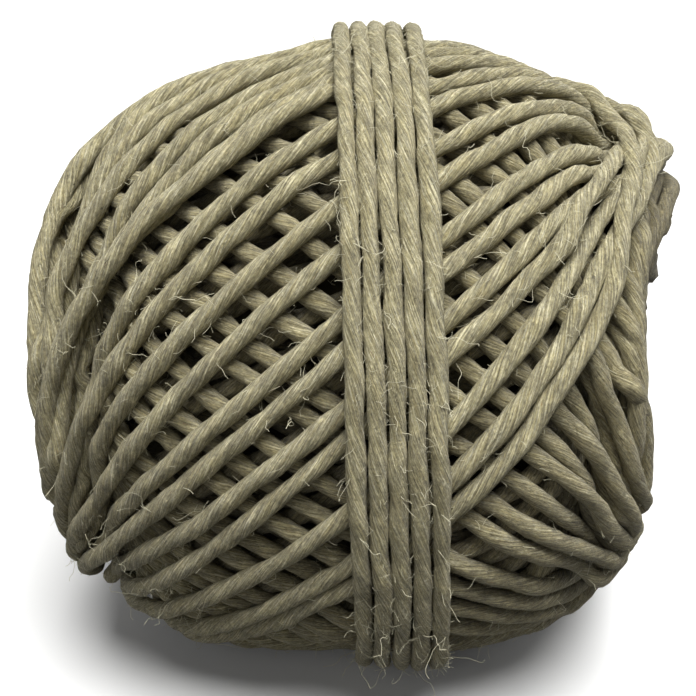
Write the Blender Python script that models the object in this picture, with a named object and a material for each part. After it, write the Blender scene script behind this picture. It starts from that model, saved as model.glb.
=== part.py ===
"""A ball of string: one solid of its wound form.

The string is wound round a nearly level spindle line. It builds a raised rim round a shallow eye at each
end of that line. Its last five turns lie side by side round the middle, as a belly band. The ball rests on
a small flat spot. Units are metres, +Z is up, and the origin is under the middle of the ball, on the floor.
"""

import math

import bmesh
import bpy
from mathutils import Vector

MM = 0.001

STRING = 2.15 * MM              # thickness of the string

# The wound body
WAIST_RADIUS = 38.4 * MM        # half the thickness of the body between its ends
FLAT_DEPTH = 1.3 * MM           # how far the flat spot is cut into the body
CENTRE = Vector((-1.3 * MM, 0.4 * MM, WAIST_RADIUS - FLAT_DEPTH))
SPINDLE_TURN = math.radians(9.5)    # the right-hand end comes forward by this much
SPINDLE_RISE = math.radians(0.6)    # and is this much higher than the left-hand end

# Where the string piles up and where it leaves a hollow, by angle from the right-hand end of the spindle
# line: the middle of the place, its spread, both in degrees, and its height as a share of WAIST_RADIUS.
SWELLS = (
    # name            middle  spread  height
    ("right rim",       38.0,   26.0,   0.150),
    ("right eye",        0.0,   18.0,  -0.130),
    ("left rim",       142.0,   26.0,   0.075),
    ("left eye",       180.0,   16.0,  -0.070),
)

# Winding leaves lumps and dents. Each is placed as seen from a little above the front: by degrees round the
# outline from the right, and degrees from the outline towards the viewer.
VIEW_HEIGHT = math.radians(22.0)
LUMPS = (
    # name              round   near  spread  height
    ("right dent",        5.0,  26.0,   18.0,  -0.100),
    ("upper right",      30.0,   9.0,   16.0,   0.085),
    ("top",              72.0,  12.0,   20.0,   0.030),
    ("upper left",      104.0,   9.0,   16.0,  -0.022),
    ("left dent",       180.0,  12.0,   12.0,  -0.080),
    ("sharp bend",      219.0,   9.0,    8.0,   0.030),
    ("lower left",      238.0,  12.0,   21.0,   0.050),
    ("underside dent",  266.0,  12.0,   12.0,  -0.035),
    ("lower right",     318.0,  12.0,   14.0,  -0.030),
    ("right, low",      344.0,   9.0,   12.0,   0.030),
)
BODY_RINGS = 34
BODY_SEGMENTS = 60

# The belly band
BAND_TURNS = 5
BAND_PITCH = 2.1 * MM           # from one turn of the band to the next
BAND_OFFSET = 5.2 * MM          # the band is this far to the right of the body's middle
BAND_LEAN = math.radians(1.7)   # its top leans to the left
BAND_SINK = 0.15 * MM           # how far the band is pressed into the body
BAND_ROOT = 5.0 * MM            # how deep the band's solid reaches into the body
BAND_STEPS = 60
RIDGE_POINTS = 5                # points over the round back of one turn
RIDGE_SWEEP = math.radians(150.0)


def spindle_direction():
    """Unit vector along the spindle line, towards the right-hand end."""
    level = math.cos(SPINDLE_RISE)
    return Vector((
        level * math.cos(SPINDLE_TURN),
        -level * math.sin(SPINDLE_TURN),
        math.sin(SPINDLE_RISE),
    ))


def lump_direction(round_outline, towards_viewer):
    """Unit vector from the centre to a lump."""
    outline = math.radians(round_outline)
    near = math.radians(towards_viewer)
    up = Vector((0.0, math.sin(VIEW_HEIGHT), math.cos(VIEW_HEIGHT)))
    to_viewer = Vector((0.0, -math.cos(VIEW_HEIGHT), math.sin(VIEW_HEIGHT)))
    on_outline = Vector((1.0, 0.0, 0.0)) * math.cos(outline) + up * math.sin(outline)
    return on_outline * math.cos(near) + to_viewer * math.sin(near)


def bell(direction, axis, middle, spread):
    """Highest, 1, where the direction is middle degrees off the axis; falls off over spread degrees."""
    off = math.degrees(direction.angle(axis)) - middle
    return math.exp(-(off / spread) ** 2)


def body_radius(direction):
    """Distance from the centre to the body's surface in a direction."""
    spindle = spindle_direction()
    share = 1.0
    for _name, middle, spread, height in SWELLS:
        share += height * bell(direction, spindle, middle, spread)
    for _name, round_outline, towards_viewer, spread, height in LUMPS:
        share += height * bell(direction, lump_direction(round_outline, towards_viewer), 0.0, spread)
    return WAIST_RADIUS * share


def string_material():
    """Dull, dry bast fibre."""
    material = bpy.data.materials.new("bast_string")
    material.use_nodes = True
    shader = material.node_tree.nodes["Principled BSDF"]
    shader.inputs["Base Color"].default_value = (0.36, 0.33, 0.21, 1.0)
    shader.inputs["Roughness"].default_value = 0.8
    shader.inputs["Metallic"].default_value = 0.0
    return material


def wound_body(collection):
    """The wound body, with its poles at the two ends of the spindle line."""
    form = bmesh.new()
    bmesh.ops.create_uvsphere(form, u_segments=BODY_SEGMENTS, v_segments=BODY_RINGS, radius=1.0)
    turn = Vector((0.0, 0.0, 1.0)).rotation_difference(spindle_direction())
    for vert in form.verts:
        direction = (turn @ vert.co).normalized()
        vert.co = direction * body_radius(direction)
    mesh = bpy.data.meshes.new("string_ball")
    form.to_mesh(mesh)
    form.free()
    mesh.shade_smooth()
    ball = bpy.data.objects.new("string_ball", mesh)
    collection.objects.link(ball)
    ball.location = CENTRE
    return ball


def band_profile():
    """Outline of a cut through the band: (height over the body's surface, place along the band's axis)."""
    string_radius = STRING / 2
    half_width = BAND_TURNS * BAND_PITCH / 2
    outline = [(-BAND_ROOT, half_width)]
    for turn in range(BAND_TURNS):
        along = half_width - BAND_PITCH * (turn + 0.5)
        for point in range(RIDGE_POINTS):
            angle = RIDGE_SWEEP * (0.5 - point / (RIDGE_POINTS - 1))
            outline.append((
                string_radius * (1.0 + math.cos(angle)) - BAND_SINK,
                along + string_radius * math.sin(angle),
            ))
    outline.append((-BAND_ROOT, -half_width))
    return outline


def belly_band(collection):
    """Five turns side by side round the middle: one ring with five rounded ridges, following the body."""
    lean = Vector((math.cos(BAND_LEAN), 0.0, math.sin(BAND_LEAN)))
    turn = Vector((0.0, 0.0, 1.0)).rotation_difference(lean)
    form = bmesh.new()
    rings = []
    for step in range(BAND_STEPS):
        angle = math.tau * step / BAND_STEPS
        outward = turn @ Vector((math.cos(angle), math.sin(angle), 0.0))
        reach = body_radius((outward * WAIST_RADIUS + lean * BAND_OFFSET).normalized())
        surface = math.sqrt(reach ** 2 - BAND_OFFSET ** 2)
        rings.append([
            form.verts.new(outward * (surface + height) + lean * (BAND_OFFSET + along))
            for height, along in band_profile()
        ])
    for ring, after in zip(rings, rings[1:] + rings[:1]):
        for point in range(len(ring)):
            form.faces.new((ring[point - 1], ring[point], after[point], after[point - 1]))
    bmesh.ops.recalc_face_normals(form, faces=form.faces)
    mesh = bpy.data.meshes.new("belly_band")
    form.to_mesh(mesh)
    form.free()
    band = bpy.data.objects.new("belly_band", mesh)
    collection.objects.link(band)
    band.location = CENTRE
    return band


def floor_block(collection):
    """Takes the flat spot off the underside."""
    size = 4 * WAIST_RADIUS
    bpy.ops.mesh.primitive_cube_add(size=size, location=(0.0, 0.0, -size / 2))
    block = bpy.context.object
    block.name = "floor_block"
    for owner in list(block.users_collection):
        owner.objects.unlink(block)
    collection.objects.link(block)
    return block


def add_boolean(obj, operation, tool):
    """Join or cut with a helper object, which is itself left out of the model."""
    change = obj.modifiers.new(tool.name, "BOOLEAN")
    change.operation = operation
    change.object = tool
    change.solver = "EXACT"
    tool.hide_render = True
    tool.display_type = "WIRE"


def main():
    for old in list(bpy.data.objects):
        bpy.data.objects.remove(old, do_unlink=True)

    model = bpy.data.collections.new("ball_of_string")
    helpers = bpy.data.collections.new("helpers")
    bpy.context.scene.collection.children.link(model)
    bpy.context.scene.collection.children.link(helpers)

    ball = wound_body(model)
    ball.data.materials.append(string_material())
    add_boolean(ball, "UNION", belly_band(helpers))
    add_boolean(ball, "DIFFERENCE", floor_block(helpers))


main()
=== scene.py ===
# %% [markdown]
# # A ball of string
#
# A ball like this is wound by machine. The string runs round and round in one tilted plane while the ball
# turns slowly on a spindle, so every turn crosses the one before at the two ends and leaves a small eye
# there. The last few turns are laid side by side round the middle, as a belly band that holds the rest.
# We make it the same way. One line of string is worked out turn by turn, each turn is laid on top of what
# is already there, and Geometry Nodes give the line its thickness and twisted fibres.

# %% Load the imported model
import math

import bmesh
import bpy
import numpy as np
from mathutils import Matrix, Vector


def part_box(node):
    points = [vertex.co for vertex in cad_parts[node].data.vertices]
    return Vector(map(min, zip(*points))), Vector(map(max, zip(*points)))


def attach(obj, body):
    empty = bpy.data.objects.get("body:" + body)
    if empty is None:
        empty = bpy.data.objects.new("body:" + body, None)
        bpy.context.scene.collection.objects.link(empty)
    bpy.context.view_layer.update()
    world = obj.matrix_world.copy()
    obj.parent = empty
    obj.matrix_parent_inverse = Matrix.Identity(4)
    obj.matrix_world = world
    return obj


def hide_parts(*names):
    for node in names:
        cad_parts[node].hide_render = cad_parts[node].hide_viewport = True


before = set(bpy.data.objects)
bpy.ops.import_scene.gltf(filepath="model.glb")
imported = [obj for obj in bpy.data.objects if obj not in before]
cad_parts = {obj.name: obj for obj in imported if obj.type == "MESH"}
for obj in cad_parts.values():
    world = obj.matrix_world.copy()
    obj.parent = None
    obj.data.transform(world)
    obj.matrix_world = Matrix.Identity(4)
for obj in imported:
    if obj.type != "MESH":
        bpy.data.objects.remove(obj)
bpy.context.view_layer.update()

MM = 0.001
NODE_LOW, NODE_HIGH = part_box("string_ball")
print("solid ball, mm:", [round(v / MM, 1) for v in NODE_HIGH - NODE_LOW])

# %% [markdown]
# ## Sizes of the real ball
#
# The solid model already fixes these: the thickness of the body at its waist, where its centre is, which
# way the spindle line ran, and where the string swells into a rim or leaves a hollow. The looks must fill
# the same space, so the same few numbers are used here, and the box of the solid gives the middle.

# %% Driving sizes
STRING = 2.15 * MM
WAIST_RADIUS = 38.4 * MM
FLAT_DEPTH = 1.3 * MM
CENTRE = np.array([
    (NODE_LOW.x + NODE_HIGH.x) / 2 - 1.3 * MM,
    (NODE_LOW.y + NODE_HIGH.y) / 2 + 0.4 * MM,
    NODE_LOW.z + WAIST_RADIUS - FLAT_DEPTH,
])
SPINDLE_TURN = math.radians(9.5)
SPINDLE_RISE = math.radians(0.6)

# name, middle and spread in degrees from the right-hand end of the spindle line, height as a share
SWELLS = (
    ("right rim", 38.0, 26.0, 0.150),
    ("right eye", 0.0, 18.0, -0.130),
    ("left rim", 142.0, 26.0, 0.075),
    ("left eye", 180.0, 16.0, -0.070),
)
# Winding and handling leave lumps and dents. name, degrees round the outline from the right, degrees from
# the outline towards the viewer, both as seen from a little above the front, then spread and height
VIEW_HEIGHT = math.radians(22.0)
LUMPS = (
    ("right dent", 5.0, 26.0, 18.0, -0.100),
    ("upper right", 30.0, 9.0, 16.0, 0.085),
    ("top", 72.0, 12.0, 20.0, 0.030),
    ("upper left", 104.0, 9.0, 16.0, -0.022),
    ("left dent", 180.0, 12.0, 12.0, -0.080),
    ("sharp bend", 219.0, 9.0, 8.0, 0.030),
    ("lower left", 238.0, 12.0, 21.0, 0.050),
    ("underside dent", 266.0, 12.0, 12.0, -0.035),
    ("lower right", 318.0, 12.0, 14.0, -0.030),
    ("right, low", 344.0, 9.0, 12.0, 0.030),
)
SPINDLE = np.array([
    math.cos(SPINDLE_RISE) * math.cos(SPINDLE_TURN),
    -math.cos(SPINDLE_RISE) * math.sin(SPINDLE_TURN),
    math.sin(SPINDLE_RISE),
])
VIEW_RIGHT = np.array([1.0, 0.0, 0.0])
VIEW_UP = np.array([0.0, math.sin(VIEW_HEIGHT), math.cos(VIEW_HEIGHT)])
TO_VIEWER = np.array([0.0, -math.cos(VIEW_HEIGHT), math.sin(VIEW_HEIGHT)])


def angle_between(directions, axis):
    """Degrees between each direction and an axis."""
    return np.degrees(np.arccos(np.clip(directions @ axis, -1.0, 1.0)))


def lump_direction(round_outline, towards_viewer):
    """Direction of a place given by its two angles in degrees."""
    outline = math.radians(round_outline)
    near = math.radians(towards_viewer)
    on_outline = VIEW_RIGHT * math.cos(outline) + VIEW_UP * math.sin(outline)
    return on_outline * math.cos(near) + TO_VIEWER * math.sin(near)


def body_radius(directions):
    """Distance from the centre to the outside of the body in each direction."""
    share = np.ones(len(directions))
    angle = angle_between(directions, SPINDLE)
    for _name, middle, spread, height in SWELLS:
        share += height * np.exp(-((angle - middle) / spread) ** 2)
    for _name, round_outline, towards_viewer, spread, height in LUMPS:
        off = angle_between(directions, lump_direction(round_outline, towards_viewer))
        share += height * np.exp(-((off / spread) ** 2))
    return WAIST_RADIUS * share


print("centre of the body, mm:", np.round(CENTRE / MM, 2))

# %% [markdown]
# ## Camera, floor and light
#
# The ball is seen from the front and a little above, from only about two ball widths away, so its near side
# looks large. The belly band stands upright in the view. The floor is plain and pale. One broad soft light
# hangs overhead, as over a product table. A weak one in front opens the shadows between the strings, and
# one behind lights the far edges.

# %% Camera
CAMERA_DISTANCE = 4.2 * WAIST_RADIUS
VIEW_WIDTH = 89.6 * MM          # how much the view spans at the middle of the ball
SENSOR = 36.0                   # mm, as the lens is


def added(name, data):
    """A new object in the scene."""
    made = bpy.data.objects.new(name, data)
    bpy.context.scene.collection.objects.link(made)
    return made


camera = added("camera", bpy.data.cameras.new("camera"))
camera.data.sensor_width = SENSOR
camera.data.lens = SENSOR * CAMERA_DISTANCE / VIEW_WIDTH
camera.location = Vector(CENTRE + TO_VIEWER * CAMERA_DISTANCE)
camera.rotation_mode = "QUATERNION"
camera.rotation_quaternion = Vector(-TO_VIEWER).to_track_quat("-Z", "Y")
camera.data.clip_start = 0.01
bpy.context.scene.camera = camera
print("lens, mm:", round(camera.data.lens))


# %% Helpers for node trees
def node(tree, kind, inputs=None, **settings):
    """Add a node. inputs maps a socket's name or number to a value or to another node's output."""
    made = tree.nodes.new(kind)
    for name, value in settings.items():
        setattr(made, name, value)
    for key, value in (inputs or {}).items():
        if isinstance(value, bpy.types.NodeSocket):
            tree.links.new(value, made.inputs[key])
        else:
            made.inputs[key].default_value = value
    return made


def calc(tree, operation, *values):
    """Result of a math node: one number worked out from one, two or three others."""
    return node(tree, "ShaderNodeMath", dict(enumerate(values)), operation=operation).outputs[0]


# %% Floor
def plain_material(name, colour, roughness):
    """A material of one colour."""
    material = bpy.data.materials.new(name)
    material.use_nodes = True
    shader = material.node_tree.nodes["Principled BSDF"]
    shader.inputs["Base Color"].default_value = colour
    shader.inputs["Roughness"].default_value = roughness
    return material


def pale_floor():
    """A wide, plain, pale sheet with a dull surface."""
    bpy.ops.mesh.primitive_plane_add(size=6.0)
    floor = bpy.context.object
    floor.name = "floor"
    floor.data.materials.append(plain_material("floor", (0.83, 0.83, 0.82, 1.0), 0.9))
    floor.visible_diffuse = False       # it throws no light up at the ball


pale_floor()


# %% Light
def soft_light(name, direction, spread, strength):
    """Even light from one side, as from a large lamp far away. spread is how wide the lamp looks."""
    lamp = added(name, bpy.data.lights.new(name, "SUN"))
    lamp.data.angle = math.radians(spread)
    lamp.data.energy = strength
    lamp.rotation_mode = "QUATERNION"
    lamp.rotation_quaternion = Vector(direction).to_track_quat("Z", "Y")


soft_light("overhead", direction=(0.12, -0.30, 0.95), spread=40.0, strength=5.4)
soft_light("front_fill", direction=(-0.35, -1.0, 0.30), spread=60.0, strength=0.65)
soft_light("back_fill", direction=(0.45, 1.0, 0.30), spread=60.0, strength=0.9)


def pale_room(strength):
    """Even light from above the floor, and none from below. The room itself looks as pale as the floor."""
    world = bpy.data.worlds.new("room")
    bpy.context.scene.world = world
    world.use_nodes = True
    tree = world.node_tree
    direction = node(tree, "ShaderNodeTexCoord").outputs["Generated"]
    height = node(tree, "ShaderNodeSeparateXYZ", {"Vector": direction}).outputs["Z"]
    above = node(tree, "ShaderNodeMapRange", {"Value": height, "From Min": -0.05, "From Max": 0.25})
    light = calc(tree, "MULTIPLY", above.outputs["Result"], strength)
    seen = node(tree, "ShaderNodeLightPath").outputs["Is Camera Ray"]
    tree.links.new(calc(tree, "MAXIMUM", light, seen), tree.nodes["Background"].inputs["Strength"])
    tree.nodes["Background"].inputs["Color"].default_value = (1.0, 1.0, 1.0, 1.0)


pale_room(strength=0.11)
bpy.context.scene.view_settings.view_transform = "Standard"

# %% [markdown]
# ## The winder's rule
#
# Think of the ball on its spindle. The flyer lays each turn in a plane that passes the spindle line at a
# fixed angle, the eye angle, and the spindle turns a little between turns. So a turn is a great circle, and
# two numbers give it: the eye angle, and the azimuth at which it crosses the front of the ball. If the
# azimuth creeps on steadily, the great circles join into one unbroken line, which is what real string is.


# %% Directions of the spindle
def unit(vector):
    """The vector at length 1."""
    return vector / np.linalg.norm(vector)


FRONT = unit(TO_VIEWER - SPINDLE * TO_VIEWER.dot(SPINDLE))
TOP = np.cross(FRONT, SPINDLE)      # azimuth 90 degrees, as the front is azimuth 0
print("spindle", np.round(SPINDLE, 3), "front", np.round(FRONT, 3), "top", np.round(TOP, 3))

# %% [markdown]
# ## Layers of the winding
#
# Half a turn of the spindle covers the ball once. Each such layer leans the other way from the one below,
# which gives the criss-cross. The rows run from the inside out. The innermost ones pass close to the
# spindle and close the eyes, and later ones keep further off. The outermost is wound loosely, with uneven
# gaps through which the next layers show.

# %% The layers
# name, degrees from turn to turn, eye angle in degrees, and the share of its height that the string keeps
# where it crowds at the rims, pressed by all that comes later
FIRST_EYE = 6.0
LAYERS = (
    ("eye", 18.0, 13.0, 0.20),
    ("eye", 14.0, 19.0, 0.20),
    ("fourth", 9.0, 24.0, 0.24),
    ("third", 7.4, 28.0, 0.28),
    ("second", 7.4, 31.5, 0.42),
    ("outer", 8.6, 41.5, 0.80),
)
CHANGE_OVER = 0.35              # share of a layer in which the eye angle changes to its new value
LAYER_SWEEP = 180.0
LAST_AZIMUTH = -51.0
# Gaps between the last turns of the outermost layer, in degrees, from the last turn back
LAST_GAPS = (5.0, 10.4, 12.6, 5.1, 9.8, 4.9, 10.9, 9.0, 10.5, 7.7, 11.8, 4.8, 4.0, 4.5)

POINTS = 300                    # points on one turn


def wobble(turns, cycles, seed):
    """Slow unevenness, about -1 to 1: a few waves, in cycles per turn, that never repeat together."""
    phases = np.random.default_rng(seed).uniform(0, 2 * math.pi, len(cycles))
    waves = [np.sin(2 * math.pi * turns * rate + phase) for rate, phase in zip(cycles, phases)]
    return sum(waves) / math.sqrt(len(cycles))


def turn_plan():
    """Azimuth and eye angle at the end of each turn, oldest turn first, and each turn's layer number."""
    gaps, eyes, layers = [], [FIRST_EYE], []
    for number, (_name, pitch, eye, _kept) in enumerate(LAYERS):
        turns = round(LAYER_SWEEP / pitch)
        gaps += [pitch] * turns
        done = np.clip(np.arange(1, turns + 1) / (CHANGE_OVER * turns), 0, 1)
        eyes += (eyes[-1] + (eye - eyes[-1]) * done).tolist()
        layers += [number] * turns
    gaps[-len(LAST_GAPS):] = reversed(LAST_GAPS)
    azimuths = LAST_AZIMUTH + np.cumsum(gaps[::-1])[::-1] - np.array(gaps)
    return azimuths, np.array(eyes[1:]), np.array(layers)


AZIMUTHS, EYES, TURN_LAYERS = turn_plan()
TURNS = len(AZIMUTHS)
print("turns:", TURNS, "from azimuth", round(AZIMUTHS[0]), "to", round(AZIMUTHS[-1]))


# %% One unbroken line of directions
STRAY = np.array([1.5, 1.5, 1.3, 1.0, 1.1, 0.5])    # degrees by which the azimuth strays in each layer
EYE_STRAY = 1.1                 # degrees by which the eye angle strays
LEFT_OUT = 0.25                 # share of the last turn that isn't wound


def wound_directions():
    """Unit vectors from the centre of the ball to every point of the winding, oldest first."""
    turns = np.arange(round((TURNS - LEFT_OUT) * POINTS)) / POINTS
    plan = np.arange(TURNS)
    stray = np.interp(turns, plan, STRAY[TURN_LAYERS])
    azimuth = np.interp(turns, plan, AZIMUTHS) + stray * wobble(turns, cycles=(0.29, 0.43, 1.13), seed=3)
    eye = np.interp(turns, plan, EYES) + EYE_STRAY * wobble(turns, cycles=(0.17, 0.31, 0.46), seed=5)
    azimuth = np.radians(azimuth)[:, None]
    eye = np.radians(eye)[:, None]
    across = TOP * np.cos(azimuth) - FRONT * np.sin(azimuth)
    normal = SPINDLE * np.sin(eye) - across * np.cos(eye)
    crossing = TOP * np.sin(azimuth) + FRONT * np.cos(azimuth)
    ahead = np.cross(normal, crossing)
    phase = 2 * math.pi * turns[:, None]
    return np.cos(phase) * crossing + np.sin(phase) * ahead


# %% Slipping over the rim
SLIP = 6.0                      # degrees by which the turns slip towards the right eye
SLIP_AT = 41.5                  # degrees from the spindle line, where they slip most
SLIP_SPREAD = 9.0
SLIP_CORNER = lump_direction(38.0, 9.0)     # they slip only near this corner
CORNER_SPREAD = 35.0


def slipped(directions):
    """The directions after the turns at the upper right have slipped over the rim, towards the eye."""
    angle = angle_between(directions, SPINDLE)
    from_corner = angle_between(directions, SLIP_CORNER)
    slip = SLIP * np.exp(-((angle - SLIP_AT) / SLIP_SPREAD) ** 2 - (from_corner / CORNER_SPREAD) ** 2)
    outward = directions - SPINDLE * (directions @ SPINDLE)[:, None]
    outward /= np.linalg.norm(outward, axis=1)[:, None]
    moved = np.radians(angle - slip)[:, None]
    return SPINDLE * np.cos(moved) + outward * np.sin(moved)


WOUND = slipped(wound_directions())
print("points on the winding:", len(WOUND))

# %% [markdown]
# ## The belly band
#
# The last five turns go round the middle, side by side, a little to the right of centre and leaning a touch
# to the left at the top. They are still the same line: at the back the last wound turn bends into the band,
# creeps along by one string at every turn, and its end is tucked in under the turns beside it.

# %% Directions of the band
BAND_TURNS = 5
BAND_PITCH = 1.95 * MM
BAND_SPREAD = 0.13              # the turns lie wider apart at the back than in front
BAND_OFFSET = 5.2 * MM
BAND_LEAN = math.radians(1.7)
BAND_RADIUS = WAIST_RADIUS + STRING / 2
BAND_AXIS = np.array([math.cos(BAND_LEAN), 0.0, math.sin(BAND_LEAN)])
BAND_FRONT = unit(TO_VIEWER - BAND_AXIS * TO_VIEWER.dot(BAND_AXIS))
BAND_TOP = np.cross(BAND_FRONT, BAND_AXIS)
BAND_WANDER = 0.07 * MM         # how far a turn strays from its place in the band
MEET_WITHIN = 0.6               # share of the last wound turn in which it meets the band
BEND = 9                        # points over which the string bends into the band
TUCKED = 40                     # points of the end that are tucked in
TUCK_ASIDE = 1.6 * BAND_PITCH   # how far the very end goes sideways, and how far down
TUCK_UNDER = 0.9 * STRING


def sideways(directions):
    """Distance from the middle of the band, to the right."""
    return BAND_RADIUS * (directions @ BAND_AXIS) - BAND_OFFSET


def join_band():
    """The winding up to the band, and the band after it. Gives the directions and where the band starts."""
    first = -BAND_PITCH * BAND_TURNS / 2
    last_turn = len(WOUND) - round(MEET_WITHIN * POINTS)
    beside = sideways(WOUND[last_turn:]) - first
    behind = WOUND[last_turn:] @ TO_VIEWER < 0
    crossing = last_turn + np.nonzero((beside[:-1] * beside[1:] <= 0) & behind[:-1])[0][-1]
    wound = WOUND[:crossing]
    start = math.atan2(wound[-1] @ BAND_TOP, wound[-1] @ BAND_FRONT)
    forward = -1.0 if (wound[-1] - wound[-2]) @ np.cross(BAND_AXIS, wound[-1]) > 0 else 1.0
    turns = np.arange(1, round(BAND_TURNS * POINTS)) / POINTS
    azimuth = (start + forward * 2 * math.pi * turns)[:, None]
    creep = first + BAND_PITCH * turns
    creep *= 1 + BAND_SPREAD * (1 - np.cos(azimuth[:, 0]))
    creep += BAND_WANDER * wobble(turns, cycles=(1.7, 2.9, 5.3), seed=11)
    tuck = np.clip((np.arange(len(turns)) - len(turns) + TUCKED) / TUCKED, 0, 1) ** 2
    creep -= TUCK_ASIDE * tuck
    along_axis = ((BAND_OFFSET + creep) / BAND_RADIUS)[:, None]
    ring = BAND_FRONT * np.cos(azimuth) + BAND_TOP * np.sin(azimuth)
    joined = np.concatenate([wound, BAND_AXIS * along_axis + ring * np.sqrt(1 - along_axis ** 2)])
    near = joined[crossing - 4 * BEND:crossing + 4 * BEND]
    for _time in range(BEND ** 2):
        near[1:-1] = (near[:-2] + 2 * near[1:-1] + near[2:]) / 4
    return joined / np.linalg.norm(joined, axis=1)[:, None], crossing, tuck


ALL, BAND_START, TUCK = join_band()
print("points in all:", len(ALL), "band from", BAND_START)

# %% [markdown]
# ## Laying the string
#
# A string that is pulled tight rests on whatever it crosses, runs straight in between, and slides off a
# string that lies nearly along it until it has found a groove. To copy that, a map of the surface so far is
# kept, one height for every small cell of direction. For each new turn the map gives the lowest height the
# string can have, here and a little to either side. The line is tightened over those heights and pushed
# down the slope, a few times over, and is then drawn into the map. So the strings ride over and nestle
# beside each other as they do on the real ball, with no collision engine.

# %% The map of the surface
REACH = 0.49 * STRING           # half the width that a string takes up
CELL = 0.008                    # width of a cell, on a ball of radius 1
MAP_EDGE = 1.02                 # the map reaches a little further than that ball
SURFACE = np.zeros((round(2 * MAP_EDGE / CELL),) * 3, np.float32)

# places looked at round each point, across and along the string
LOOK_STEP = 0.27 * MM
LOOK_ACROSS = np.arange(-6, 7) * LOOK_STEP
LOOK_ALONG = np.arange(-3, 4) * LOOK_STEP
SIDE_STEP = 2 * LOOK_STEP
DRAW_ACROSS = np.linspace(-0.98, 0.98, 13) * REACH
DRAW_ALONG = np.linspace(-0.5, 0.5, 4) * MM


def map_cells(directions):
    """Numbers of the cells that the directions lie in."""
    place = ((directions + MAP_EDGE) / CELL).astype(np.int32)
    return place[..., 0], place[..., 1], place[..., 2]


def cap_height(across, along):
    """Height of a round string's outside above its centre line; far below outside its width."""
    inside = REACH ** 2 - across ** 2 - along ** 2
    return np.where(inside > 0, np.sqrt(np.maximum(inside, 0)), -1.0)


def places_round(directions, ahead, side, radius, across, along):
    """Directions of a small raster of places round each point."""
    steps_across = side[:, None, None] * across[None, :, None, None]
    steps_along = ahead[:, None, None] * along[None, None, :, None]
    return directions[:, None, None] + (steps_across + steps_along) / radius[:, None, None, None]


LOOK_CAPS = [
    cap_height(LOOK_ACROSS[:, None] - shift, LOOK_ALONG[None, :])
    for shift in (-SIDE_STEP, 0.0, SIDE_STEP)
]


def resting_heights(directions, ahead, side, radius, floor, squash):
    """Lowest heights of the string a step to one side, in place, and a step to the other side."""
    cells = map_cells(places_round(directions, ahead, side, radius, LOOK_ACROSS, LOOK_ALONG))
    seen = np.maximum(SURFACE[cells], floor[:, None, None])
    return [(seen + cap * squash[:, None, None]).max(axis=(1, 2)) for cap in LOOK_CAPS]


def draw_into_map(directions, ahead, side, radius, heights, squash):
    """Raise the map where the new string lies."""
    cells = map_cells(places_round(directions, ahead, side, radius, DRAW_ACROSS, DRAW_ALONG))
    tops = heights[:, None] + cap_height(DRAW_ACROSS, 0.0)[None, :] * squash[:, None]
    tops = np.repeat(tops[:, :, None], len(DRAW_ALONG), axis=2)
    np.maximum.at(SURFACE, cells, tops.astype(np.float32))


# %% Tighten and slide
PINNED = 3                      # points shared with the turn before
LOOK_AHEAD = 40                 # points of the next turn that are worked out with it
OWN_TAIL = 14                   # a turn doesn't rest on its own last points
ROUNDS = 20
TIGHTEN_STEPS = 10
SLIDE_STEP = 0.25 * MM
SLIDE_SMOOTHING = 3
SLIDE_KEEP = 0.995              # how much of a slide is kept each round
FRICTION = 0.15                 # slope on which a string still holds
MOST_BRIDGE = 0.6 * MM          # how far a string hangs clear of what is below
BRIDGE_SMOOTHING = 30
TOUCHING = 0.1 * MM             # a string slides only where it is this near to what is below
LAST_SMOOTHING = 3


def tighten(lowest, line):
    """Straighten the line between its pinned start and its end, never below the lowest heights."""
    sag = WAIST_RADIUS * (2 * math.pi / POINTS) ** 2 / 2
    for _step in range(TIGHTEN_STEPS):
        middle = np.maximum(lowest[1:-1], (line[:-2] + line[2:]) / 2 - sag)
        line[PINNED:-1] = middle[PINNED - 1:]
    return line


def smooth(line, times):
    """Even the line out, with its pinned start kept."""
    for _time in range(times):
        middle = (line[:-2] + 2 * line[1:-1] + line[2:]) / 4
        line[PINNED:-1] = middle[PINNED - 1:]
    return line


def unit_rows(vectors):
    """Every row at length 1."""
    return vectors / np.linalg.norm(vectors, axis=1)[:, None]


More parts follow.
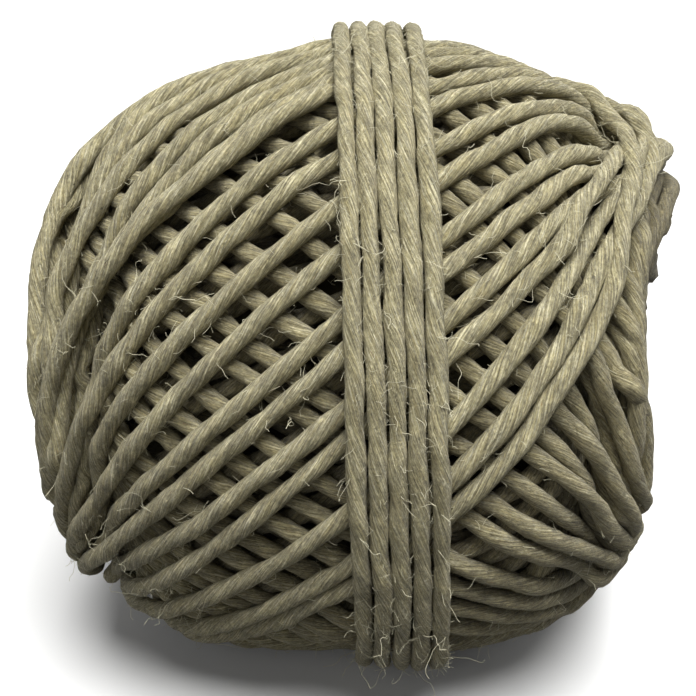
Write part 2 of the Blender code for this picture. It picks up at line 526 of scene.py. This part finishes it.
def lay(directions, slide_limit, squash, floor, drawn_until):
    """Lay the line on a floor, in the order in which it was wound. Gives the moved directions and heights.

    Turns after drawn_until lie side by side, so they aren't drawn into the map.
    """
    SURFACE[:] = 0.0
    count = len(directions)
    ahead = unit_rows(np.gradient(directions, axis=0))
    side = np.cross(directions, ahead)
    radius = body_radius(directions)
    heights = floor + REACH
    slides = np.zeros(count)
    moved = directions.copy()
    for start in range(0, count, POINTS):
        stop = min(start + POINTS, count)
        window = slice(max(start - PINNED, 0), min(stop + LOOK_AHEAD, count))
        pinned_slides = slides[window][:PINNED].copy()
        limit = slide_limit[window]
        slide = slides[window].copy()
        line = heights[window].copy()
        for _round in range(ROUNDS):
            now = unit_rows(directions[window] + side[window] * (slide / radius[window])[:, None])
            left, lowest, right = resting_heights(
                now, ahead[window], side[window], radius[window], floor[window], squash[window])
            line[PINNED:] = np.maximum(line[PINNED:], lowest[PINNED:])
            line = tighten(lowest, line)
            sagging = np.maximum(smooth(lowest.copy(), BRIDGE_SMOOTHING) + MOST_BRIDGE, lowest)
            line[PINNED:] = np.minimum(line, sagging)[PINNED:]
            slope = (left - right) / (2 * SIDE_STEP) / squash[window]
            slope = np.where(line - lowest < TOUCHING, slope, 0.0)
            slope = np.sign(slope) * np.clip(np.abs(slope) - FRICTION, 0, 1)
            slide = SLIDE_KEEP * slide + SLIDE_STEP * slope
            slide[:PINNED] = pinned_slides
            slide = np.clip(smooth(slide, SLIDE_SMOOTHING), -limit, limit)
        line = smooth(line, LAST_SMOOTHING)
        keep = slice(start - window.start, stop - window.start)
        slides[start:window.stop] = slide[start - window.start:]
        heights[start:window.stop] = line[start - window.start:]
        shift = (slide[keep] / radius[start:stop])[:, None]
        moved[start:stop] = unit_rows(directions[start:stop] + side[start:stop] * shift)
        new = slice(max(start - OWN_TAIL, 0), min(stop - OWN_TAIL, drawn_until))
        draw_into_map(moved[new], ahead[new], side[new], radius[new], heights[new], squash[new])
    return moved, heights


# %% [markdown]
# ## Pressing where it crowds
#
# Every turn passes the rims round the two eyes, so the string crowds there, and the buried layers are
# pressed flatter than at the waist. The string's height is squashed there, and its width is kept. The
# thickness of the core is then found by trial: the string is laid, the outside is measured in steps along
# the spindle line, and the core is changed by part of what is too much or too little against the form of
# the solid model.

# %% Lay the string on a fitting core
STEP = 6.0                      # degrees between measured places
SECTIONS = np.arange(0.0, 180.1, STEP)
START_DEPTH = 10.5 * MM         # depth of the core's surface below the outside, before the trials
MOST_THINNING = 7.0 * MM        # how much the trials may change that depth
TRIALS = 2
PUT_RIGHT = 0.8                 # share of the misfit that a trial puts right
MOST_SLIDE = 4.0 * MM
BAND_SLIDE = 0.25 * MM
CROWDS_AT = 36.0                # degrees from either end of the spindle line
CROWDS_OVER = 18.0
WAIST_KEPT = 0.86               # share of its height that a string keeps at the waist
BAND_KEPT = 1.0
LEFT_PRESSED = 0.50             # what is buried in the left rim is pressed flatter still
FULL = 94                       # percentile of the heights that counts as the outside
FEWEST = 200                    # points needed for a fair measure


def kept_heights(angle, layers):
    """Share of its height that each point of the string keeps where it rests on others."""
    rims = (CROWDS_AT, 180.0 - CROWDS_AT)
    crowding = sum(np.exp(-((angle - rim) / CROWDS_OVER) ** 2) for rim in rims)
    at_rims = np.array([kept for _name, _pitch, _eye, kept in LAYERS])[layers]
    at_rims = at_rims * np.where((angle > 90) & (layers < len(LAYERS) - 1), LEFT_PRESSED, 1.0)
    return WAIST_KEPT + (at_rims - WAIST_KEPT) * np.clip(crowding, 0, 1)


def outside_share(directions, heights):
    """Outer height of the winding as a share of the wanted one, at each section."""
    angle = angle_between(directions, SPINDLE)
    share = heights / (body_radius(directions) - STRING / 2)
    measured = []
    for section in SECTIONS:
        inside = np.abs(angle - section) < STEP
        measured.append(np.percentile(share[inside], FULL) if inside.sum() > FEWEST else np.nan)
    measured = np.array(measured)
    known = ~np.isnan(measured)
    return np.interp(SECTIONS, SECTIONS[known], measured[known])


WOUND_LAYERS = np.repeat(TURN_LAYERS, POINTS)[:BAND_START]
band_points = len(ALL) - BAND_START
angles = angle_between(ALL, SPINDLE)
slide_limit = np.full(len(ALL), MOST_SLIDE)
slide_limit[BAND_START:] = BAND_SLIDE
kept = np.full(len(ALL), BAND_KEPT)
kept[:BAND_START] = kept_heights(angles[:BAND_START], WOUND_LAYERS)
thinning = np.zeros(len(SECTIONS))
for trial in range(TRIALS):
    floor = body_radius(ALL) - START_DEPTH - np.interp(angles, SECTIONS, thinning)
    LAID, HEIGHTS = lay(ALL, slide_limit, kept, floor, BAND_START)
    share = outside_share(LAID[:BAND_START], HEIGHTS[:BAND_START])
    print("trial", trial + 1, "share of the wanted height:", np.round(share, 2))
    thinning += PUT_RIGHT * WAIST_RADIUS * (share - 1)
    thinning = np.clip(thinning, -MOST_THINNING, MOST_THINNING)

# %% [markdown]
# ## Evening out by hand
#
# A finished ball is pressed and rolled between the hands, which evens out high and low places. Here the
# local outside is measured at places spread evenly over the ball. Near a low place everything is moved out
# by the same share. Near a high place it is pressed together over the core, so that the deepest layers stay
# where they are and no gap opens on to the dark inside.

# %% Meet the form everywhere
PLACES = 900
HAND = 7.0                      # degrees over which the hands even out
CORE = 0.70                     # size of the firm core, as a share of the whole
MOST_OUT = 0.6 * MM             # how far a string may stand out of the form
LOCAL_FULL = 90                 # percentile of the heights that counts as the outside here
FEWEST_NEAR = 30                # points needed near a place


def even_places(count):
    """Directions spread evenly over a ball, in a spiral."""
    number = np.arange(count) + 0.5
    up = 1 - 2 * number / count
    turn = number * math.pi * (3 - math.sqrt(5))
    return np.stack([np.cos(turn) * np.sqrt(1 - up ** 2), np.sin(turn) * np.sqrt(1 - up ** 2), up], axis=1)


def local_outside(directions, share, asked):
    """Share of the wanted height that the outside of the winding has round each asked direction."""
    places = even_places(PLACES)
    near = directions @ places.T > math.cos(math.radians(HAND))
    filled = near.sum(axis=0) > FEWEST_NEAR
    highest = np.array([np.percentile(share[near[:, i]], LOCAL_FULL) for i in np.nonzero(filled)[0]])
    closeness = (asked @ places[filled].T - 1) / (1 - math.cos(math.radians(HAND)))
    weights = np.exp(2 * closeness)
    return weights @ highest / weights.sum(axis=1)


wanted = body_radius(LAID) - STRING / 2
share = HEIGHTS / wanted
local = local_outside(LAID[:BAND_START], share[:BAND_START], LAID)
print("local outside, share of wanted:", np.round(np.percentile(local, [2, 25, 50, 75, 98]), 2))

# too high: pressed together over the core; too low: all moved out
pressed = CORE + (share - CORE) * (1 - CORE) / (local - CORE)
share = np.where(local > 1, pressed, share / local)

# what still stands out is pressed in, except the band, and the end is tucked under
standing_out = np.maximum(share - 1, 0.0) * wanted
standing_out[BAND_START:] = 0.0
HEIGHTS = share * wanted - standing_out + MOST_OUT * np.tanh(standing_out / MOST_OUT)
HEIGHTS[BAND_START:] -= TUCK_UNDER * TUCK
LINE = CENTRE + LAID * HEIGHTS[:, None]

# %% [markdown]
# ## The flat spot
#
# The ball's own weight presses its underside flat. Everything lower than a small height is squeezed
# smoothly towards the floor, so that the strings keep their order and none goes below it.

# %% Press the underside
PRESS_HEIGHT = 2.2 * MM


def press_flat(points):
    """Squeeze what is lower than PRESS_HEIGHT towards the floor."""
    height = points[:, 2]
    pressed = PRESS_HEIGHT * np.exp(np.minimum(height - PRESS_HEIGHT, 0.0) / PRESS_HEIGHT)
    points[:, 2] = np.where(height < PRESS_HEIGHT, pressed, height)
    return points


# %% [markdown]
# ## From a line to string
#
# The string is one ply of long bast fibres with a soft twist. A round profile is swept along the line, and
# two things are stored on the surface: how far along the string a point is, and where it is round the
# string after the twist is taken out. Both the relief of the fibre bundles and the colour streaks use that
# place, so the streaks wind round the string as fibres do, with no seam.

# %% The tree that sweeps the string
FIBRE_LAY = 17 * MM             # the string turns once in this length
BUNDLE = 15 * MM                # unit of length for the streaks along the fibres
RELIEF = 0.13 * MM              # how far the bundles of fibres stand out
WAVER = 0.7 * MM                # how far the string wavers from its line
WAVER_SCALE = 140.0             # a waver about every 7 mm
BUNDLE_SCALE = 1.9
STRAND_SCALE = 5.0
STRAND_SHARE = 0.8              # height of single strands, as a share of that of the bundles


def tree_with_sockets(name, numbers):
    """A Geometry Nodes tree with a geometry input, named numbers and a finish, and a geometry output."""
    tree = bpy.data.node_groups.new(name, "GeometryNodeTree")
    tree.interface.new_socket("Geometry", in_out="INPUT", socket_type="NodeSocketGeometry")
    for label, kind in numbers:
        tree.interface.new_socket(label, in_out="INPUT", socket_type=kind)
    tree.interface.new_socket("Finish", in_out="INPUT", socket_type="NodeSocketMaterial")
    tree.interface.new_socket("Geometry", in_out="OUTPUT", socket_type="NodeSocketGeometry")
    return tree, tree.nodes.new("NodeGroupInput"), tree.nodes.new("NodeGroupOutput")


def end_tree(tree, geometry, given, end):
    """Realize, set the finish and hand the geometry out."""
    real = node(tree, "GeometryNodeRealizeInstances", {"Geometry": geometry})
    finished = node(tree, "GeometryNodeSetMaterial", {
        "Geometry": real.outputs[0],
        "Material": given.outputs["Finish"],
    })
    tree.links.new(finished.outputs[0], end.inputs[0])


def captured(tree, geometry, value, label):
    """Keep a number on the points of a curve. Gives the curve and the kept number."""
    keep = node(tree, "GeometryNodeCaptureAttribute", domain="POINT")
    keep.capture_items.new("FLOAT", label)
    tree.links.new(geometry, keep.inputs[0])
    tree.links.new(value, keep.inputs[1])
    return keep.outputs[0], keep.outputs[1]


def named(tree, label):
    """A number that the line brings with it."""
    return node(tree, "GeometryNodeInputNamedAttribute", {"Name": label}, data_type="FLOAT").outputs[0]


def noise(tree, place, scale, detail=2.0):
    """Fac of a noise texture, centred on zero."""
    texture = node(tree, "ShaderNodeTexNoise", {"Vector": place, "Scale": scale, "Detail": detail})
    return calc(tree, "SUBTRACT", texture.outputs[0], 0.5)


def noise_vector(tree, place, scale, detail):
    """Colour of a noise texture as a vector, centred on zero."""
    texture = node(tree, "ShaderNodeTexNoise", {"Vector": place, "Scale": scale, "Detail": detail})
    inputs = {0: texture.outputs[1], 1: (0.5, 0.5, 0.5)}
    return node(tree, "ShaderNodeVectorMath", inputs, operation="SUBTRACT").outputs[0]


def pushed(tree, geometry, direction, amount):
    """Move every point along a direction."""
    inputs = {0: direction, "Scale": amount}
    offset = node(tree, "ShaderNodeVectorMath", inputs, operation="SCALE").outputs[0]
    return node(tree, "GeometryNodeSetPosition", {"Geometry": geometry, "Offset": offset}).outputs[0]


def string_tree():
    """Sweep a round profile along a line of edges, with the relief of twisted fibres."""
    tree, given, end = tree_with_sockets("string_along_line", (
        ("Thickness", "NodeSocketFloat"),
        ("Sides", "NodeSocketInt"),
        ("Fibre lay", "NodeSocketFloat"),
        ("Bundle", "NodeSocketFloat"),
        ("Relief", "NodeSocketFloat"),
        ("Waver", "NodeSocketFloat"),
    ))
    smooth_line = node(tree, "GeometryNodeMeshToCurve", {"Mesh": given.outputs["Geometry"]})
    place = node(tree, "GeometryNodeInputPosition").outputs[0]
    sway = noise_vector(tree, place, WAVER_SCALE, detail=2.0)
    line = pushed(tree, smooth_line.outputs[0], sway, given.outputs["Waver"])
    radius = calc(tree, "DIVIDE", given.outputs["Thickness"], 2.0)
    ring = node(tree, "GeometryNodeCurvePrimitiveCircle", {
        "Resolution": given.outputs["Sides"],
        "Radius": radius,
    })
    place_round = node(tree, "GeometryNodeSplineParameter").outputs["Factor"]
    ring_curve, around = captured(tree, ring.outputs[0], place_round, "around")
    tube = node(tree, "GeometryNodeCurveToMesh", {
        "Curve": line,
        "Profile Curve": ring_curve,
        "Scale": named(tree, "girth"),
        "Fill Caps": True,
    })
    turns_along = calc(tree, "DIVIDE", named(tree, "along"), given.outputs["Fibre lay"])
    angle = calc(tree, "MULTIPLY", calc(tree, "ADD", around, turns_along), 2 * math.pi)
    fibre = node(tree, "ShaderNodeCombineXYZ", {
        0: calc(tree, "COSINE", angle),
        1: calc(tree, "SINE", angle),
        2: calc(tree, "DIVIDE", named(tree, "along"), given.outputs["Bundle"]),
    }).outputs[0]
    bundles = noise(tree, fibre, BUNDLE_SCALE, detail=1.0)
    strands = noise(tree, fibre, STRAND_SCALE, detail=1.0)
    height = calc(tree, "ADD", bundles, calc(tree, "MULTIPLY", strands, STRAND_SHARE))
    lift = calc(tree, "MULTIPLY", calc(tree, "MULTIPLY", height, 2.0), given.outputs["Relief"])
    normal = node(tree, "GeometryNodeInputNormal").outputs[0]
    relief = pushed(tree, tube.outputs[0], normal, lift)
    stored = node(tree, "GeometryNodeStoreNamedAttribute", {
        "Geometry": relief,
        "Name": "fibre",
        "Value": fibre,
    }, data_type="FLOAT_VECTOR", domain="POINT")
    smooth = node(tree, "GeometryNodeSetShadeSmooth", {"Geometry": stored.outputs[0]})
    end_tree(tree, smooth.outputs[0], given, end)
    return tree


STRING_TREE = string_tree()
print("nodes in the string tree:", len(STRING_TREE.nodes))

# %% [markdown]
# ## Finish of the string
#
# Dry bast fibre is dull and greenish grey-brown, with paler and browner streaks along the fibres, a few
# rust-coloured specks of bark, and a faint sheen at the edges from the fine fibres that stand off it. The
# streaks follow the fibre place that the tree stored. Shade is painted into the colour too: darker in the
# folds between bundles, and darker and warmer in the deeper layers.


# %% Helpers for finishes
def mixed(tree, factor, first, second, blend="MIX"):
    """One colour made from two."""
    inputs = {0: factor, 6: first, 7: second}
    return node(tree, "ShaderNodeMix", inputs, data_type="RGBA", blend_type=blend).outputs[2]


def ramp(tree, value, stops):
    """Grey or colour by value; each stop is a place and a colour."""
    made = node(tree, "ShaderNodeValToRGB", {"Fac": value})
    while len(made.color_ramp.elements) < len(stops):
        made.color_ramp.elements.new(0.5)
    for element, (place, colour) in zip(made.color_ramp.elements, stops):
        element.position = place
        element.color = colour
    return made.outputs[0]


def even_noise(tree, place, scale, detail, roughness=0.5):
    """Noise that is the same in all directions."""
    inputs = {"Vector": place, "Scale": scale, "Detail": detail, "Roughness": roughness}
    return node(tree, "ShaderNodeTexNoise", inputs).outputs[0]


def stretched_noise(tree, place, stretch, detail, roughness=0.6):
    """Noise that is drawn out along the fibres."""
    mapped = node(tree, "ShaderNodeMapping", {"Vector": place, "Scale": stretch}).outputs[0]
    return even_noise(tree, mapped, 1.0, detail, roughness)


def weighted(tree, first, second, weight):
    """The first value and part of the second."""
    return calc(tree, "ADD", first, calc(tree, "MULTIPLY", second, weight))


# %% Colours of the fibres
BLACK = (0.0, 0.0, 0.0, 1.0)
WHITE = (1.0, 1.0, 1.0, 1.0)
BROWNER = (0.33, 0.27, 0.13, 1.0)
RUST = (0.24, 0.10, 0.03, 1.0)
# value of the noise and the colour there, from dark to pale fibres
STREAKS = (
    (0.33, (0.100, 0.080, 0.030, 1.0)),
    (0.45, (0.330, 0.287, 0.144, 1.0)),
    (0.55, (0.535, 0.482, 0.286, 1.0)),
    (0.68, (0.850, 0.805, 0.590, 1.0)),
)


def mask(tree, value, low, high, most):
    """Zero where the value is low, and the most where it is high."""
    return calc(tree, "MULTIPLY", ramp(tree, value, ((low, BLACK), (high, WHITE))), most)


def fibre_colours(tree, fibre):
    """Pale and dark streaks, browner patches and rust-coloured specks of bark."""
    streaks = stretched_noise(tree, fibre, (5.5, 5.5, 5.0), 8.0, roughness=0.74)
    colour = ramp(tree, streaks, STREAKS)
    patches = stretched_noise(tree, fibre, (1.2, 1.2, 0.8), 2.0)
    colour = mixed(tree, mask(tree, patches, 0.45, 0.75, most=0.35), colour, BROWNER)
    specks = stretched_noise(tree, fibre, (7.0, 7.0, 9.0), 1.0)
    return mixed(tree, mask(tree, specks, 0.74, 0.79, most=0.7), colour, RUST)


# %% Folds and painted shade
FOLD_WIDTH = 1 / 16             # in units of the noise
# painted shade in the folds: how much darker the colour is drawn there
FOLD_SHADE = 0.42
EVEN_SHADE, MOTTLE, SPECKLE = 0.06, 1.1, 0.9
DEPTH_SHADE = 0.75              # painted shade: how much darker the deepest string is drawn
LESS_GREEN, LESS_BLUE = 0.06, 0.20      # and how much warmer that painted shade is


def fold_lines(tree, fibre):
    """Zero in the narrow folds between bundles of fibres, and one beside them."""
    folds = stretched_noise(tree, fibre, (3.4, 3.4, 2.4), 3.0)
    from_fold = calc(tree, "ABSOLUTE", calc(tree, "SUBTRACT", folds, 0.5))
    return calc(tree, "MINIMUM", calc(tree, "DIVIDE", from_fold, FOLD_WIDTH), 1.0)


def less_in_painted_shade(tree, value, depth, loss):
    """The value, less a share of it in the deep layers, as painted shade."""
    return calc(tree, "MULTIPLY", value, calc(tree, "MULTIPLY_ADD", depth, -loss, 1.0))


def shade_of_string(tree, place, folds, depth):
    """Mottled tone, with painted shade: dark in the folds, and darker and warmer in the deep layers."""
    mottle = even_noise(tree, place, scale=750.0, detail=4.0)
    speckle = even_noise(tree, place, scale=2600.0, detail=2.0)
    uneven = calc(tree, "MULTIPLY_ADD", mottle, MOTTLE, EVEN_SHADE)
    uneven = weighted(tree, uneven, speckle, SPECKLE)
    # painted shade: the colour is darker in the folds, where shadow falls
    folded = calc(tree, "MULTIPLY_ADD", folds, FOLD_SHADE, 1 - FOLD_SHADE)
    # painted shade: the deeper layers are drawn darker and warmer
    shade = less_in_painted_shade(tree, calc(tree, "MULTIPLY", uneven, folded), depth, DEPTH_SHADE)
    return node(tree, "ShaderNodeCombineColor", {
        0: shade,
        1: less_in_painted_shade(tree, shade, depth, LESS_GREEN),
        2: less_in_painted_shade(tree, shade, depth, LESS_BLUE),
    }).outputs[0]


# %% The whole finish
BUMP = 0.28 * MM


def string_finish():
    """Dull bast fibre with streaks, folds, a rough surface and a faint sheen, and shade painted into the
    colour.
    """
    material = bpy.data.materials.new("bast_string")
    material.use_nodes = True
    tree = material.node_tree
    shader = tree.nodes["Principled BSDF"]
    fibre = node(tree, "ShaderNodeAttribute", attribute_name="fibre").outputs["Vector"]
    # how much painted shade: the deeper layers are drawn darker and warmer, for the shadow between the
    # strings
    depth = node(tree, "ShaderNodeAttribute", attribute_name="depth").outputs["Fac"]
    place = node(tree, "ShaderNodeTexCoord").outputs["Object"]
    folds = fold_lines(tree, fibre)

    shade = shade_of_string(tree, place, folds, depth)
    colour = mixed(tree, 1.0, fibre_colours(tree, fibre), shade, blend="MULTIPLY")
    tree.links.new(colour, shader.inputs["Base Color"])

    fine = stretched_noise(tree, fibre, (9.0, 9.0, 7.0), 5.0, roughness=0.7)
    rough = weighted(tree, fine, even_noise(tree, place, scale=2200.0, detail=3.0), 0.6)
    rough = weighted(tree, rough, folds, 0.35)
    bump = node(tree, "ShaderNodeBump", {"Height": rough, "Strength": 1.0, "Distance": BUMP})
    tree.links.new(bump.outputs[0], shader.inputs["Normal"])
    shader.inputs["Roughness"].default_value = 0.78
    shader.inputs["Specular IOR Level"].default_value = 0.32
    shader.inputs["Sheen Weight"].default_value = 0.18
    shader.inputs["Sheen Roughness"].default_value = 0.5
    return material


STRING_FINISH = string_finish()
print("nodes in the finish:", len(STRING_FINISH.node_tree.nodes))

# %% [markdown]
# ## The pieces of string
#
# The line is cut into stretches that stay light enough to handle, one or two for each layer. Each runs a
# little way into the next, so that no cut shows. Layers that hardly show have fewer points and sides.


# %% Helpers for pieces
def line_object(name, points, along, girth, depth):
    """A mesh of edges only, with the numbers that the tree reads."""
    mesh = bpy.data.meshes.new(name)
    edges = [(i, i + 1) for i in range(len(points) - 1)]
    mesh.from_pydata(points.tolist(), edges, [])
    # the last number is read by the finish, which paints the deeper layers darker as shade
    for label, values in (("along", along), ("girth", girth), ("depth", depth)):
        mesh.attributes.new(label, "FLOAT", "POINT").data.foreach_set("value", values.astype(np.float32))
    return added(name, mesh)


def grown(made, tree, values):
    """Run a tree on the object and replace the object's mesh with the plain result."""
    modifier = made.modifiers.new("grow", "NODES")
    modifier.node_group = tree
    for item in tree.interface.items_tree:
        if item.in_out == "INPUT" and item.name in values:
            modifier[item.identifier] = values[item.name]
    bpy.context.view_layer.update()
    seen = made.evaluated_get(bpy.context.evaluated_depsgraph_get())
    mesh = bpy.data.meshes.new_from_object(seen)
    made.modifiers.remove(modifier)
    old, made.data = made.data, mesh
    bpy.data.meshes.remove(old)


def triangles_of(made):
    """How many triangles a piece has."""
    made.data.calc_loop_triangles()
    return len(made.data.loop_triangles)


def settle(made):
    """Press the underside flat."""
    points = np.empty(len(made.data.vertices) * 3)
    made.data.vertices.foreach_get("co", points)
    points = press_flat(points.reshape(-1, 3))
    made.data.vertices.foreach_set("co", points.ravel())
    made.data.update()


def belong(made):
    """Make the piece part of the ball: it settles, rides with it and stands for its solid."""
    settle(made)
    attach(made, "root")
    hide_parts("string_ball")
    print(made.name, "triangles:", triangles_of(made))


# %% Make the string
# layer, name of its pieces, number of pieces, every so many points, sides, painted shade of the layer
PIECES = (
    ((0, 1), "eye_winding", 1, 2, 8, 0.9),
    ((2,), "fourth_winding", 1, 2, 8, 0.8),
    ((3,), "third_winding", 1, 2, 10, 0.65),
    ((4,), "second_winding", 2, 1, 12, 0.32),
    ((5,), "outer_winding", 2, 1, 16, 0.0),
    ((6,), "belly_band", 1, 1, 16, 0.0),
)
STRETCH_OVERLAP = 2             # points by which a stretch runs into the next one
MEAN_GIRTH = 0.95               # the string's thickness, as a share of its nominal one
UNEVEN_GIRTH = 0.08
GIRTH_LENGTH = 20 * MM
BAND_GIRTH = 0.93               # the band's turns are pressed together

step_lengths = np.linalg.norm(np.diff(LINE, axis=0), axis=1)
ALONG = np.concatenate([[0.0], np.cumsum(step_lengths)])
POINT_LAYERS = np.concatenate([WOUND_LAYERS, np.full(band_points, len(LAYERS))])
swings = wobble(ALONG / GIRTH_LENGTH, cycles=(0.31, 0.83, 1.37, 2.9), seed=21)
GIRTH = MEAN_GIRTH + UNEVEN_GIRTH * swings
GIRTH[BAND_START:] *= BAND_GIRTH


def make_stretch(name, index, sides, depth):
    """One stretch of string through the numbered points of the line."""
    made = line_object(name, LINE[index], ALONG[index], GIRTH[index], np.full(len(index), depth))
    grown(made, STRING_TREE, {
        "Thickness": STRING,
        "Sides": sides,
        "Fibre lay": FIBRE_LAY,
        "Bundle": BUNDLE,
        "Relief": RELIEF,
        "Waver": WAVER,
        "Finish": STRING_FINISH,
    })
    belong(made)
    return made


STRINGS = []
for layers, label, parts, every, sides, depth in PIECES:
    index = np.nonzero(np.isin(POINT_LAYERS, layers))[0]
    for number, part in enumerate(np.array_split(index, parts), start=1):
        name = label if parts == 1 else f"{label}_{number}"
        numbers = np.arange(part[0], min(part[-1] + 1 + STRETCH_OVERLAP, len(LINE)))
        STRINGS.append(make_stretch(name, numbers[::every], sides, depth))

# %% [markdown]
# ## Stray fibres
#
# Bast string is never quite smooth. Short ends of fibre stand off it everywhere, and here and there a long
# one has come loose and curls away. Each fibre starts as a straight line on the surface of the string,
# leans over at random and is bent by noise more and more towards its tip, as a loose fibre is.


# %% The tree that grows fibres
CLUMP_SCALE = 70.0              # fibres stand in clumps about 14 mm apart
CLUMPING = 12.0                 # how much more thickly they stand in a clump
BETWEEN_CLUMPS = 0.4            # how thickly they stand elsewhere
LEAST_LEAN = 0.85               # radians from upright
MOST_LEAN = 1.55
SHORTEST = 0.3                  # share of the longest


def fibre_tree():
    """Grow bent hairs from the surface of the string."""
    tree, given, end = tree_with_sockets("stray_fibres", (
        ("Per square metre", "NodeSocketFloat"),
        ("Length", "NodeSocketFloat"),
        ("Points", "NodeSocketInt"),
        ("Radius", "NodeSocketFloat"),
        ("Curl", "NodeSocketFloat"),
        ("Curl scale", "NodeSocketFloat"),
        ("Seed", "NodeSocketInt"),
    ))
    position = node(tree, "GeometryNodeInputPosition").outputs[0]
    clumps = calc(tree, "MULTIPLY", noise(tree, position, CLUMP_SCALE), CLUMPING)
    clumps = calc(tree, "MAXIMUM", clumps, BETWEEN_CLUMPS)
    roots = node(tree, "GeometryNodeDistributePointsOnFaces", {
        "Mesh": given.outputs["Geometry"],
        "Density": calc(tree, "MULTIPLY", clumps, given.outputs["Per square metre"]),
        "Seed": given.outputs["Seed"],
    })
    straight = node(tree, "GeometryNodeCurvePrimitiveLine", {"End": (0.0, 0.0, 1.0)})
    line = node(tree, "GeometryNodeResampleCurve", {
        "Curve": straight.outputs[0],
        "Count": given.outputs["Points"],
    })
    lean = node(tree, "FunctionNodeRandomValue", {
        0: (LEAST_LEAN, 0.0, -math.pi),
        1: (MOST_LEAN, 0.0, math.pi),
        "Seed": given.outputs["Seed"],
    }, data_type="FLOAT_VECTOR").outputs[0]
    lean = node(tree, "FunctionNodeEulerToRotation", {0: lean}).outputs[0]
    turned = node(tree, "FunctionNodeRotateRotation", {
        0: roots.outputs["Rotation"],
        1: lean,
    }, rotation_space="LOCAL").outputs[0]
    share = node(tree, "FunctionNodeRandomValue", {
        2: SHORTEST,
        3: 1.0,
        "Seed": given.outputs["Seed"],
    }, data_type="FLOAT").outputs[1]
    length = calc(tree, "MULTIPLY", share, given.outputs["Length"])
    placed = node(tree, "GeometryNodeInstanceOnPoints", {
        "Points": roots.outputs["Points"],
        "Instance": line.outputs[0],
        "Rotation": turned,
        "Scale": node(tree, "ShaderNodeCombineXYZ", {0: length, 1: length, 2: length}).outputs[0],
    })
    real = node(tree, "GeometryNodeRealizeInstances", {"Geometry": placed.outputs[0]})
    bend = noise_vector(tree, position, given.outputs["Curl scale"], detail=1.0)
    along = node(tree, "GeometryNodeSplineParameter").outputs["Factor"]
    amount = calc(tree, "MULTIPLY", along, given.outputs["Curl"])
    bent = pushed(tree, real.outputs[0], bend, amount)
    ring = node(tree, "GeometryNodeCurvePrimitiveCircle", {
        "Resolution": 3,
        "Radius": given.outputs["Radius"],
    })
    tube = node(tree, "GeometryNodeCurveToMesh", {
        "Curve": bent,
        "Profile Curve": ring.outputs[0],
        "Fill Caps": True,
    })
    end_tree(tree, tube.outputs[0], given, end)
    return tree


FIBRE_TREE = fibre_tree()
print("nodes in the fibre tree:", len(FIBRE_TREE.nodes))

# %% Pale finish of single fibres
# a single fibre is paler than the string, and too thin for a pattern to show
FIBRE_FINISH = plain_material("single_fibre", (0.74, 0.70, 0.50, 1.0), 0.6)

# %% Grow the fibres
# name ending, about how many on each piece, longest length, points, radius, bend, and fineness of the bends
FIBRES = (
    ("fuzz", 2300, 1.8 * MM, 5, 0.023 * MM, 1.8 * MM, 900.0),
    ("loose", 240, 5.5 * MM, 12, 0.028 * MM, 6.0 * MM, 400.0),
)


def grow_fibres(string, seed, ending, count, length, points, radius, bend, bend_scale):
    """Fibres of one kind on one piece of string."""
    area = sum(face.area for face in string.data.polygons)
    made = added(f"{string.name}_{ending}", string.data.copy())
    grown(made, FIBRE_TREE, {
        "Per square metre": count / area,
        "Length": length,
        "Points": points,
        "Radius": radius,
        "Curl": bend,
        "Curl scale": bend_scale,
        "Seed": seed,
        "Finish": FIBRE_FINISH,
    })
    belong(made)


COVERED = 0.5                   # share of the second layer that the outer one covers
HAIRY = [string for string in STRINGS if string.name.startswith(("second", "outer", "belly"))]
for seed, string in enumerate(HAIRY):
    shown = 1 - COVERED if string.name.startswith("second") else 1.0
    for ending, count, *sizes in FIBRES:
        grow_fibres(string, seed, ending, count * shown, *sizes)

# %% [markdown]
# ## The dark inside
#
# Deep between the strings there is only more string, in the dark. A plain body just inside the laid layers
# closes the view, coloured dark as painted shade.


# %% Inner body
INNER_DEPTH = 9.0 * MM          # below the outside of the ball


def inner_body():
    """A closed form inside the winding, coloured dark as painted shade."""
    form = bmesh.new()
    bmesh.ops.create_icosphere(form, subdivisions=5, radius=1.0)
    directions = np.array([vert.co.normalized() for vert in form.verts])
    radii = body_radius(directions) - INNER_DEPTH
    for vert, direction, radius in zip(form.verts, directions, radii):
        vert.co = Vector(CENTRE + direction * radius)
    mesh = bpy.data.meshes.new("inner_body")
    form.to_mesh(mesh)
    form.free()
    mesh.shade_smooth()
    # painted shade: the real inside is more of the same string, dark only because it lies in shadow
    mesh.materials.append(plain_material("dark_inside", (0.07, 0.058, 0.03, 1.0), 1.0))
    belong(added("inner_body", mesh))


inner_body()
